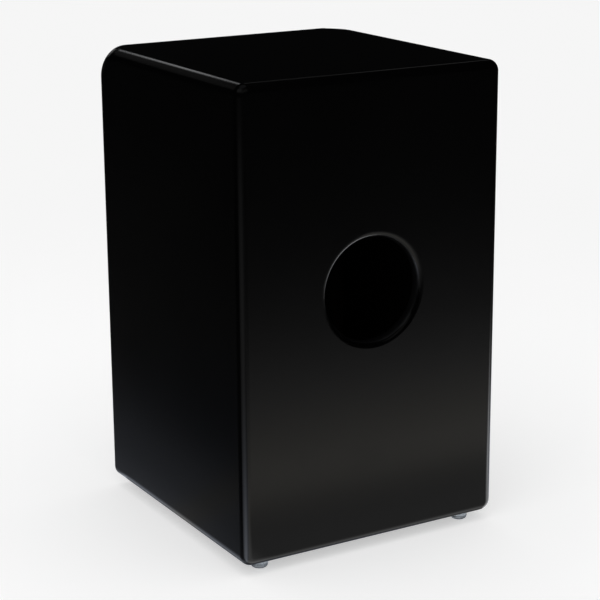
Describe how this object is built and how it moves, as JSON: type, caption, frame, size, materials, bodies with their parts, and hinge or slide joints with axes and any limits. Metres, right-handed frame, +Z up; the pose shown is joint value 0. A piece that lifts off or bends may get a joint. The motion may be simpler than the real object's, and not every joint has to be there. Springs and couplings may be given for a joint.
{
  "type": "cajon",
  "caption": "Box drum to sit on and play: glossy black shell with softly rounded corners, thin playing board, round rear sound hole, clear bumper feet and a tilting snare beam inside.",
  "frame": {"origin": "on the floor, under the middle of the box", "axes": "+Z up, -Y out of the playing board (front), +Y out of the sound hole (rear), +X to the right as seen facing the playing board"},
  "size_m": [0.3, 0.3, 0.49],
  "materials": {
    "black_lacquer": "black lacquer, semi-gloss, over plywood",
    "tapa_lacquer": "black stained veneer, satin lacquer",
    "stained_wood": "matt black stain on softwood",
    "beech": "oiled beech",
    "snare_wire": "coiled spring steel wire",
    "zinc_steel": "zinc plated",
    "black_screw": "black oxide",
    "brass_insert": "turned",
    "knob_plastic": "fine moulded texture",
    "clear_bumper": "clear polyurethane"
  },
  "bodies": {
    "cabinet": {"side_panel_left": "black_lacquer", "side_panel_right": "black_lacquer", "top_panel": "black_lacquer", "bottom_panel": "black_lacquer", "rear_panel": "black_lacquer", "tapa": "tapa_lacquer", "tapa_screws": "black_screw", "tapa_rail_left": "stained_wood", "tapa_rail_right": "stained_wood", "tapa_rail_top": "stained_wood", "tapa_rail_bottom": "stained_wood", "corner_strip_top_left": "stained_wood", "corner_strip_top_right": "stained_wood", "corner_strip_bottom_left": "stained_wood", "corner_strip_bottom_right": "stained_wood", "foot_front_left": "clear_bumper", "foot_front_right": "clear_bumper", "foot_rear_left": "clear_bumper", "foot_rear_right": "clear_bumper", "snare_bracket_left": "zinc_steel", "snare_bracket_right": "zinc_steel", "bracket_screws": "zinc_steel"},
    "snare": {"snare_beam": "beech", "beam_inserts": "brass_insert", "snare_wires_left": "snare_wire", "snare_wires_right": "snare_wire", "snare_screws": "zinc_steel"},
    "left_knob": {"knob_left": "knob_plastic", "knob_stud_left": "zinc_steel", "knob_washer_left": "zinc_steel"},
    "right_knob": {"knob_right": "knob_plastic", "knob_stud_right": "zinc_steel", "knob_washer_right": "zinc_steel"}
  },
  "joints": [
    {"name": "snare_tilt", "type": "hinge", "parent": "cabinet", "child": "snare", "pos_m": [0, -0.1123, 0.438], "axis": [1, 0, 0], "range_deg": [0, 30]},
    {"name": "left_knob_turn", "type": "hinge", "parent": "snare", "child": "left_knob", "pos_m": [-0.105, -0.1123, 0.438], "axis": [1, 0, 0], "range_deg": [-360, 0]},
    {"name": "right_knob_turn", "type": "hinge", "parent": "snare", "child": "right_knob", "pos_m": [0.105, -0.1123, 0.438], "axis": [1, 0, 0], "range_deg": [0, 360]}
  ]
}
